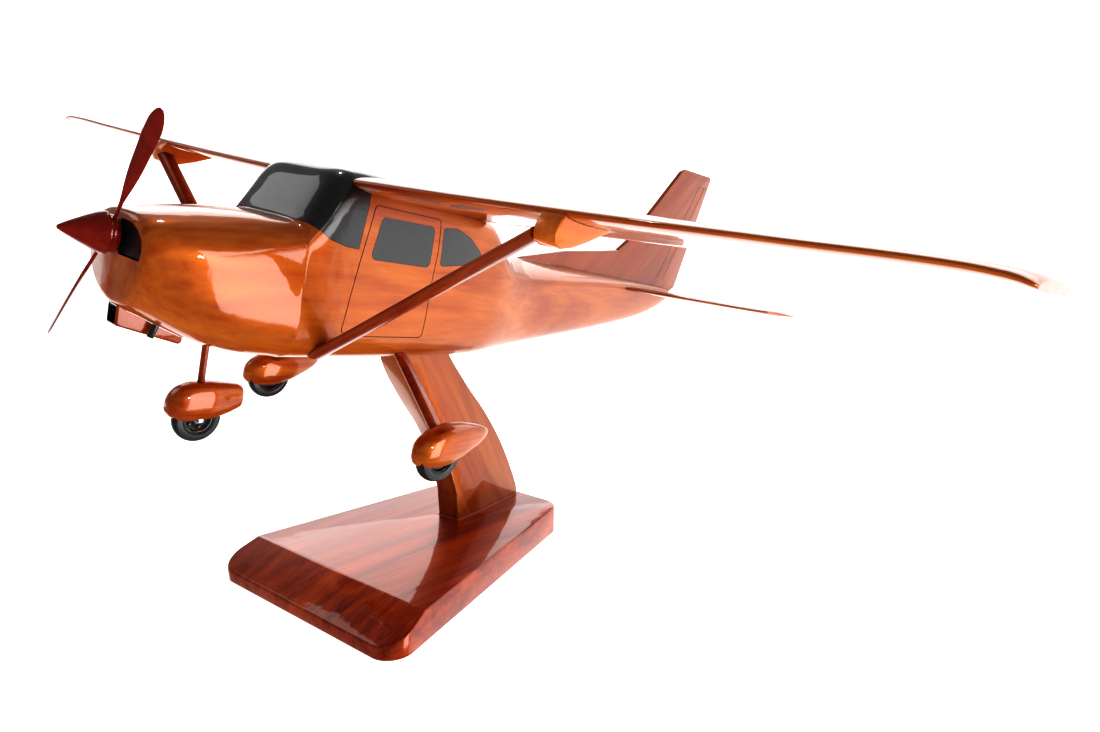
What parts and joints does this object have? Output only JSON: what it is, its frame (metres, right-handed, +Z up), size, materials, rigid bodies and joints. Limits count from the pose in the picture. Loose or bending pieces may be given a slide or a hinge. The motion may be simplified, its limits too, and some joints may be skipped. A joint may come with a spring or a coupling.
{
  "type": "propeller plane model",
  "caption": "Varnished wooden desk model of a high-wing light aircraft with strut-braced wings and spatted wheels, flying nose-up and banked on a curved arm over a tapered wooden base.",
  "frame": {"origin": "middle of the stand base's underside", "axes": "+Z up, +X to the aircraft's left (port) side, +Y towards the tail; the nose points to -Y"},
  "size_m": [0.4181, 0.3532, 0.1879],
  "materials": {
    "mahogany": "glossy clear varnish over reddish-orange mahogany",
    "dark_mahogany": "glossy clear varnish over deep red stained mahogany",
    "black_lacquer": "gloss black lacquer",
    "tyre_rubber": "smooth satin black",
    "bright_metal": "polished bright metal",
    "bare_beech": "bare, glued"
  },
  "bodies": {
    "stand": {"stand_base": "mahogany", "stand_arm": "dark_mahogany", "arm_screw_front": "bright_metal", "arm_screw_rear": "bright_metal", "stand_dowel": "bare_beech"},
    "airframe": {"canopy": "black_lacquer", "chin_scoop": "dark_mahogany", "door_window_port": "black_lacquer", "door_window_starboard": "black_lacquer", "exhaust_stub": "black_lacquer", "fin_and_rudder": "mahogany", "fin_peg": "bare_beech", "fuselage": "mahogany", "intake_inlay_port": "black_lacquer", "intake_inlay_starboard": "black_lacquer", "main_leg_port": "dark_mahogany", "main_leg_starboard": "dark_mahogany", "main_wheel_port_axle": "bright_metal", "main_wheel_port_fairing": "mahogany", "main_wheel_starboard_axle": "bright_metal", "main_wheel_starboard_fairing": "mahogany", "nose_strut": "mahogany", "nose_wheel_axle": "bright_metal", "nose_wheel_fairing": "mahogany", "rear_window_port": "black_lacquer", "rear_window_starboard": "black_lacquer", "stabilizer_dowel": "bare_beech", "stabilizer_port": "mahogany", "stabilizer_starboard": "mahogany", "strut_fairing_port": "mahogany", "strut_fairing_starboard": "mahogany", "wing_dowel_front": "bare_beech", "wing_dowel_rear": "bare_beech", "wing_port": "mahogany", "wing_starboard": "mahogany", "wing_strut_port": "dark_mahogany", "wing_strut_starboard": "dark_mahogany"},
    "propeller": {"propeller": "dark_mahogany", "spinner": "dark_mahogany", "propeller_shaft": "bright_metal"},
    "nose_wheel": {"nose_wheel_tyre": "tyre_rubber", "nose_wheel_hub": "bright_metal"},
    "main_wheel_port": {"main_wheel_port_tyre": "tyre_rubber", "main_wheel_port_hub": "bright_metal"},
    "main_wheel_starboard": {"main_wheel_starboard_tyre": "tyre_rubber", "main_wheel_starboard_hub": "bright_metal"}
  },
  "joints": [
    {"name": "lift_off_stand", "type": "slide", "parent": "stand", "child": "airframe", "axis": [0.1305, 0.1636, 0.9778], "range_m": [0, 0.03]},
    {"name": "propeller_spin", "type": "hinge", "parent": "airframe", "child": "propeller", "pos_m": [0.0039, -0.10996, 0.13907], "axis": [0, 0.9863, -0.165], "continuous": true},
    {"name": "nose_wheel_spin", "type": "hinge", "parent": "airframe", "child": "nose_wheel", "pos_m": [-0.00317, -0.08773, 0.08088], "axis": [0.9914, -0.0215, -0.1287], "continuous": true},
    {"name": "port_wheel_spin", "type": "hinge", "parent": "airframe", "child": "main_wheel_port", "pos_m": [0.04705, -0.03211, 0.06378], "axis": [0.9914, -0.0215, -0.1287], "continuous": true},
    {"name": "starboard_wheel_spin", "type": "hinge", "parent": "airframe", "child": "main_wheel_starboard", "pos_m": [-0.05368, -0.02992, 0.07686], "axis": [0.9914, -0.0215, -0.1287], "continuous": true}
  ]
}
